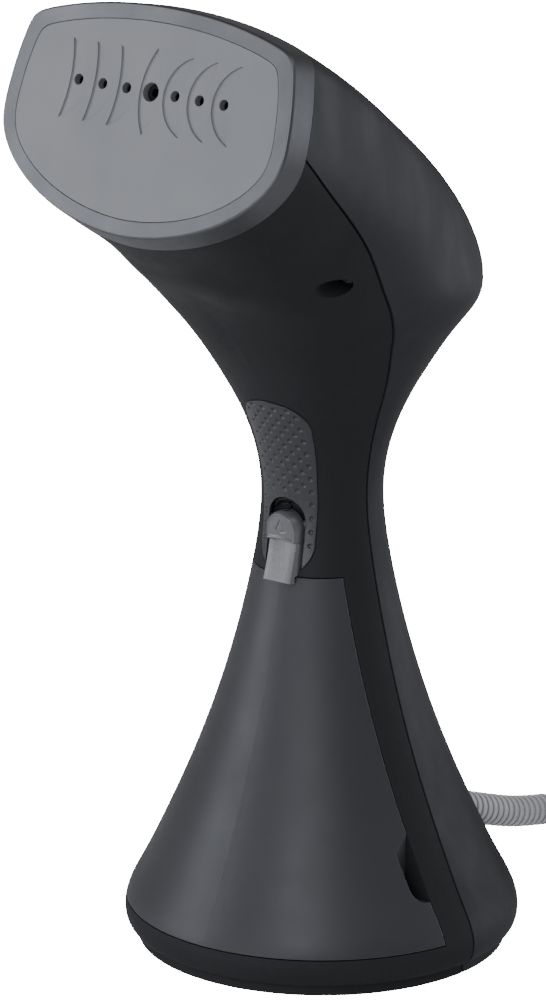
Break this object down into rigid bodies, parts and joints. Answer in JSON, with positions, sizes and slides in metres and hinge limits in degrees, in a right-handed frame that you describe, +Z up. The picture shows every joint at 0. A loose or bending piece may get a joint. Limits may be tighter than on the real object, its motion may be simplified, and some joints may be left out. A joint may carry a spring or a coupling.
{
  "type": "handheld garment steamer",
  "caption": "Handheld garment steamer: waisted body on a round base, tilted steam head, removable front water tank with latch, rear steam button and mains cord.",
  "frame": {"origin": "centre of the round base, on the surface that the foot ring stands on", "axes": "+Z up, -Y to the front, where the steam plate and the water tank face, +X to the object's left (the viewer's right from the front)"},
  "size_m": [0.1553, 0.3012, 0.2948],
  "materials": {
    "rear_plastic": "satin dark blue-grey moulded ABS",
    "front_plastic": "satin near-black moulded ABS",
    "bezel_plastic": "light grey heat-resistant plastic, fine satin",
    "plate_coating": "light grey ceramic-coated die-cast aluminium",
    "grip_rubber": "soft-touch dark grey rubber with small dimples",
    "latch_plastic": "medium grey moulded plastic",
    "tank_plastic": "smoky translucent moulded polycarbonate",
    "button_plastic": "medium grey moulded plastic, satin",
    "inner_plastic": "black moulded nylon",
    "cover_plastic": "dark grey moulded ABS, textured",
    "foot_rubber": "matt black rubber",
    "seal_rubber": "red silicone rubber",
    "die_cast": "raw die-cast aluminium",
    "steel": "zinc-plated steel",
    "spring_steel": "bright spring wire",
    "element_steel": "stainless sheathed heating rod, heat-tinted",
    "pump_plastic": "natural nylon",
    "coil_tape": "copper winding under yellow polyester tape",
    "board": "green solder-masked fibreglass board",
    "components": "black moulded electronic parts",
    "hose_silicone": "translucent white silicone hose",
    "wire_jacket": "grey silicone wire sleeve",
    "cord_rubber": "matt dark grey rubber cord jacket",
    "sleeve_rubber": "light grey ribbed rubber",
    "tie_fabric": "black hook-and-loop tape",
    "plug_plastic": "moulded dark grey plastic",
    "plug_metal": "nickel-plated brass",
    "lens": "frosted clear plastic"
  },
  "bodies": {
    "root": {"front_housing": "front_plastic", "rear_housing": "rear_plastic", "grip_pad": "grip_rubber", "head_bezel": "bezel_plastic", "steam_plate": "plate_coating", "boiler_body": "die_cast", "boiler_gasket": "seal_rubber", "boiler_cover": "die_cast", "boiler_screws": "steel", "housing_screws": "steel", "heating_element": "element_steel", "thermostat": "inner_plastic", "thermal_fuse": "steel", "base_cover": "cover_plastic", "foot_ring": "foot_rubber", "base_screws": "steel", "pump_body": "pump_plastic", "pump_coil": "coil_tape", "pump_mount": "foot_rubber", "control_board": "board", "board_components": "components", "board_screws": "steel", "button_spring": "spring_steel", "switch_bracket": "inner_plastic", "bracket_screws": "steel", "microswitch": "components", "indicator_lens": "lens", "indicator_led": "lens", "inlet_hose": "hose_silicone", "outlet_hose": "hose_silicone", "wire_loom": "wire_jacket", "inner_lead": "cord_rubber", "cord_clamp": "inner_plastic", "clamp_screws": "steel", "strain_relief": "sleeve_rubber", "dock_nozzle": "inner_plastic", "latch_spring": "spring_steel", "cord_coil": "cord_rubber", "cord_tie": "tie_fabric", "mains_cord": "cord_rubber", "cord_tail": "cord_rubber", "plug_body": "plug_plastic", "plug_pins": "plug_metal"},
    "water_tank": {"tank_shell": "tank_plastic", "tank_back": "tank_plastic", "tank_plug": "grip_rubber", "tank_seal": "seal_rubber"},
    "tank_latch": {"tank_latch": "latch_plastic"},
    "steam_button": {"steam_button": "button_plastic"}
  },
  "joints": [
    {"name": "tank_slide", "type": "slide", "parent": "root", "child": "water_tank", "axis": [0, -1, 0], "range_m": [0, 0.08]},
    {"name": "latch_slide", "type": "slide", "parent": "root", "child": "tank_latch", "axis": [0, 0, 1], "range_m": [0, 0.0025], "stiffness_N_per_m": 400, "springref_m": -0.0012, "deforming": ["latch_spring"]},
    {"name": "button_press", "type": "slide", "parent": "root", "child": "steam_button", "axis": [0, -1, 0], "range_m": [0, 0.002], "stiffness_N_per_m": 600, "springref_m": -0.0012, "deforming": ["button_spring"]}
  ]
}
